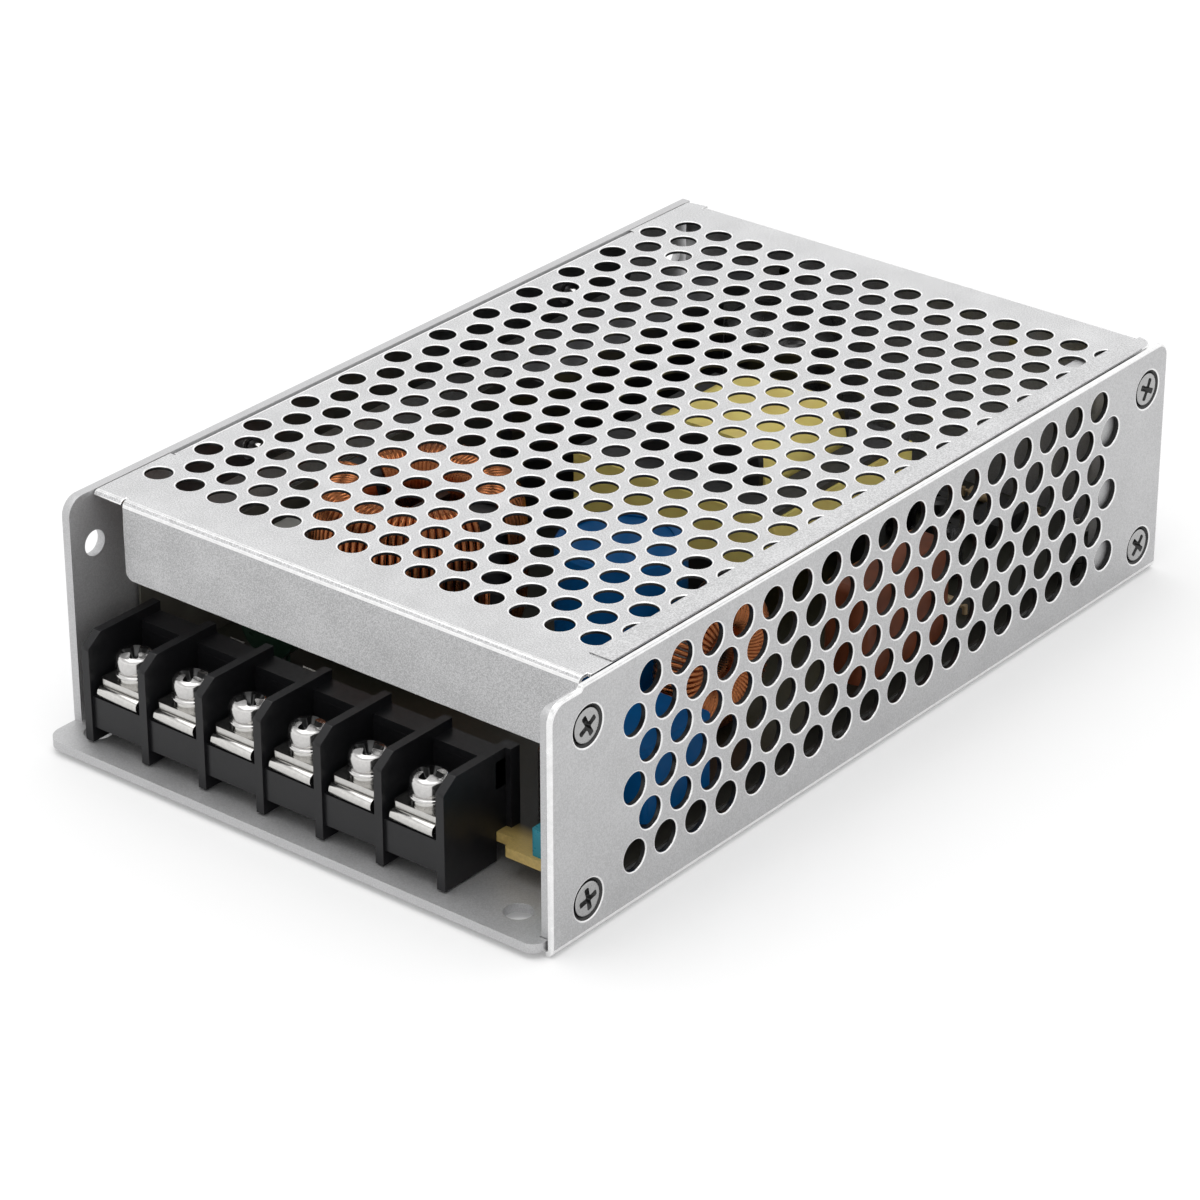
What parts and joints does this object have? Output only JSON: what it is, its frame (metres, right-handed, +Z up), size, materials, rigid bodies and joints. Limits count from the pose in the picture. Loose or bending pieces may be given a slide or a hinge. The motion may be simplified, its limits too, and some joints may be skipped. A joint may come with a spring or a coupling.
{
  "type": "enclosed switching power supply",
  "caption": "Power supply in a folded sheet metal case with perforated top and side, screw terminals at the front under an open apron.",
  "frame": {"origin": "middle of the footprint, on the surface it stands on", "axes": "+X towards the perforated side panel, +Y away from the terminals, +Z up through the perforated cover"},
  "size_m": [0.098, 0.157, 0.0407],
  "materials": {
    "case_sheet": "fine-grained satin",
    "cover_sheet": "fine-grained satin, zinc coated",
    "bright_screw": "bright nickel",
    "tinned_metal": "tinned, bright",
    "black_plastic": "satin",
    "board": "satin, bare yellow laminate",
    "film": "cream film",
    "ferrite": "dull",
    "bobbin_plastic": "dull",
    "yellow_tape": "glossy tape",
    "copper_wire": "enamelled copper",
    "blue_sleeve": "glossy sleeve",
    "black_sleeve": "glossy sleeve",
    "brown_dip": "dipped",
    "white_box": "moulded",
    "green_dip": "dipped",
    "fuse_glass": "clear",
    "black_moulding": "dull moulding",
    "sink_aluminium": "plain",
    "teal_plastic": "moulded",
    "white_rotor": "moulded",
    "resistor_body": "lacquered"
  },
  "bodies": {
    "case": {"chassis": "case_sheet", "side_panel": "case_sheet", "top_cover": "cover_sheet", "panel_screws": "bright_screw", "cover_screws": "bright_screw", "insulation_sheet": "film", "circuit_board": "board", "board_standoffs": "tinned_metal", "board_screws": "bright_screw", "terminal_housing": "black_plastic", "terminal_bars": "tinned_metal", "trimmer_body": "teal_plastic", "transformer_core": "ferrite", "transformer_bobbin": "bobbin_plastic", "transformer_winding": "yellow_tape", "transformer_tape": "yellow_tape", "line_choke_core": "ferrite", "line_choke_coils": "copper_wire", "line_choke_base": "bobbin_plastic", "output_choke_core": "ferrite", "output_choke_coil": "copper_wire", "blue_capacitor": "blue_sleeve", "blue_film_capacitor": "blue_sleeve", "bulk_capacitor": "black_sleeve", "front_capacitor": "black_sleeve", "small_capacitors": "black_sleeve", "film_capacitor": "brown_dip", "line_capacitor": "white_box", "bridge_rectifier": "black_moulding", "thermistor": "green_dip", "fuse_tube": "fuse_glass", "fuse_caps": "tinned_metal", "fuse_clips": "tinned_metal", "heatsink": "sink_aluminium", "power_device_1": "black_moulding", "power_device_2": "black_moulding", "device_screws": "bright_screw", "control_chip": "black_moulding", "optocoupler": "black_moulding", "board_resistors": "resistor_body"},
    "clamp_1": {"terminal_clamp_1": "tinned_metal"},
    "screw_1": {"terminal_screw_1": "bright_screw"},
    "clamp_2": {"terminal_clamp_2": "tinned_metal"},
    "screw_2": {"terminal_screw_2": "bright_screw"},
    "clamp_3": {"terminal_clamp_3": "tinned_metal"},
    "screw_3": {"terminal_screw_3": "bright_screw"},
    "clamp_4": {"terminal_clamp_4": "tinned_metal"},
    "screw_4": {"terminal_screw_4": "bright_screw"},
    "clamp_5": {"terminal_clamp_5": "tinned_metal"},
    "screw_5": {"terminal_screw_5": "bright_screw"},
    "clamp_6": {"terminal_clamp_6": "tinned_metal"},
    "screw_6": {"terminal_screw_6": "bright_screw"},
    "trimmer": {"trimmer_rotor": "white_rotor"}
  },
  "joints": [
    {"name": "terminal_lift_1", "type": "slide", "parent": "case", "child": "clamp_1", "axis": [0, 0, 1], "range_m": [0, 0.003]},
    {"name": "terminal_turn_1", "type": "hinge", "parent": "clamp_1", "child": "screw_1", "pos_m": [-0.03642, -0.0707, 0.015], "axis": [0, 0, 1], "range_deg": [0, 1800]},
    {"name": "terminal_lift_2", "type": "slide", "parent": "case", "child": "clamp_2", "axis": [0, 0, 1], "range_m": [0, 0.003]},
    {"name": "terminal_turn_2", "type": "hinge", "parent": "clamp_2", "child": "screw_2", "pos_m": [-0.02477, -0.0707, 0.015], "axis": [0, 0, 1], "range_deg": [0, 1800]},
    {"name": "terminal_lift_3", "type": "slide", "parent": "case", "child": "clamp_3", "axis": [0, 0, 1], "range_m": [0, 0.003]},
    {"name": "terminal_turn_3", "type": "hinge", "parent": "clamp_3", "child": "screw_3", "pos_m": [-0.01312, -0.0707, 0.015], "axis": [0, 0, 1], "range_deg": [0, 1800]},
    {"name": "terminal_lift_4", "type": "slide", "parent": "case", "child": "clamp_4", "axis": [0, 0, 1], "range_m": [0, 0.003]},
    {"name": "terminal_turn_4", "type": "hinge", "parent": "clamp_4", "child": "screw_4", "pos_m": [-0.00148, -0.0707, 0.015], "axis": [0, 0, 1], "range_deg": [0, 1800]},
    {"name": "terminal_lift_5", "type": "slide", "parent": "case", "child": "clamp_5", "axis": [0, 0, 1], "range_m": [0, 0.003]},
    {"name": "terminal_turn_5", "type": "hinge", "parent": "clamp_5", "child": "screw_5", "pos_m": [0.01018, -0.0707, 0.015], "axis": [0, 0, 1], "range_deg": [0, 1800]},
    {"name": "terminal_lift_6", "type": "slide", "parent": "case", "child": "clamp_6", "axis": [0, 0, 1], "range_m": [0, 0.003]},
    {"name": "terminal_turn_6", "type": "hinge", "parent": "clamp_6", "child": "screw_6", "pos_m": [0.02183, -0.0707, 0.015], "axis": [0, 0, 1], "range_deg": [0, 1800]},
    {"name": "trimmer_turn", "type": "hinge", "parent": "case", "child": "trimmer", "pos_m": [0.0397, -0.0628, 0.0113], "axis": [0, 0, 1], "range_deg": [-135, 135]}
  ],
  "couplings": [
    {"joint": "terminal_turn_1", "follows": "terminal_lift_1", "rad_per_m": 10472},
    {"joint": "terminal_turn_2", "follows": "terminal_lift_2", "rad_per_m": 10472},
    {"joint": "terminal_turn_3", "follows": "terminal_lift_3", "rad_per_m": 10472},
    {"joint": "terminal_turn_4", "follows": "terminal_lift_4", "rad_per_m": 10472},
    {"joint": "terminal_turn_5", "follows": "terminal_lift_5", "rad_per_m": 10472},
    {"joint": "terminal_turn_6", "follows": "terminal_lift_6", "rad_per_m": 10472}
  ]
}
